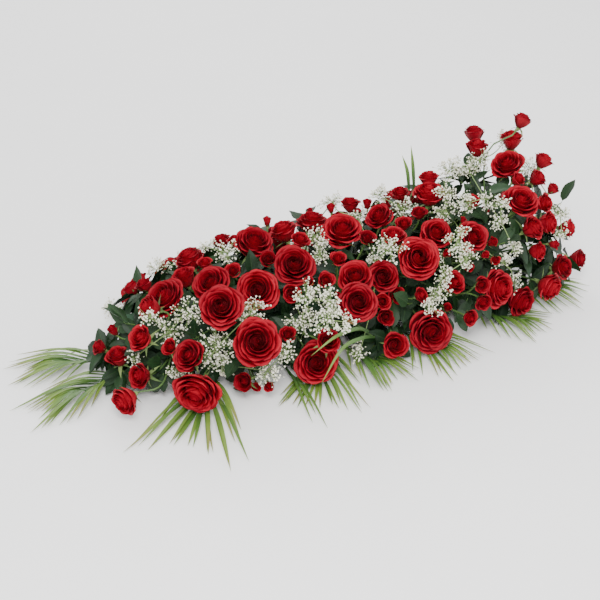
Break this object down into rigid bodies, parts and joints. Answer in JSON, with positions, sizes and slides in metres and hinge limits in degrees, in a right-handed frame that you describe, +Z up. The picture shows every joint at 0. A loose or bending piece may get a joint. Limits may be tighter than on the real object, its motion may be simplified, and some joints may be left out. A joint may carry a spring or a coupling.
{
  "type": "casket spray",
  "caption": "Long casket spray of red roses and white gypsophila rising from a low tail to a high head, with palm fronds round it, arranged in floral foam in a tray.",
  "frame": {"origin": "middle of the tray's underside, on the surface that the spray stands on", "axes": "+X along the spray from its low tail to its high head, +Z up, -Y to the front that the picture shows"},
  "size_m": [1.225, 0.6997, 0.363],
  "materials": {
    "petal": "soft satin",
    "gypsophila": "matt",
    "palm": "satin",
    "leaf": "satin",
    "foam": "matt",
    "tray": "satin"
  },
  "bodies": {
    "root": {"tray": "tray", "foam": "foam", "roses_back_2": "petal", "roses_back_3": "petal", "roses_back_4": "petal", "roses_back_5": "petal", "roses_back_6": "petal", "roses_back_7": "petal", "roses_front_1": "petal", "roses_front_2": "petal", "roses_front_3": "petal", "roses_front_4": "petal", "roses_front_5": "petal", "roses_front_6": "petal", "roses_front_7": "petal", "roses_low_front_1": "petal", "roses_low_front_2": "petal", "roses_low_front_3": "petal", "roses_low_front_4": "petal", "roses_low_front_5": "petal", "roses_low_front_6": "petal", "roses_low_front_7": "petal", "roses_top_2": "petal", "roses_top_3": "petal", "roses_top_4": "petal", "roses_top_5": "petal", "roses_top_6": "petal", "roses_top_7": "petal", "gypsophila_1": "gypsophila", "gypsophila_2": "gypsophila", "gypsophila_3": "gypsophila", "gypsophila_4": "gypsophila", "gypsophila_5": "gypsophila", "gypsophila_6": "gypsophila", "gypsophila_7": "gypsophila", "frond_tail_upper": "palm", "frond_tail_lower": "palm", "frond_front_tail": "palm", "frond_front_blades": "palm", "frond_front_fan": "palm", "frond_front_middle": "palm", "frond_front_right": "palm", "frond_front_head": "palm", "frond_head": "palm", "frond_back_head": "palm", "frond_back_middle": "palm", "frond_back_tail": "palm", "foliage_1": "leaf", "foliage_2": "leaf", "foliage_3": "leaf", "foliage_4": "leaf", "foliage_5": "leaf", "foliage_6": "leaf", "foliage_7": "leaf", "grass_upright": "palm", "grass_arching": "palm"}
  },
  "joints": []
}
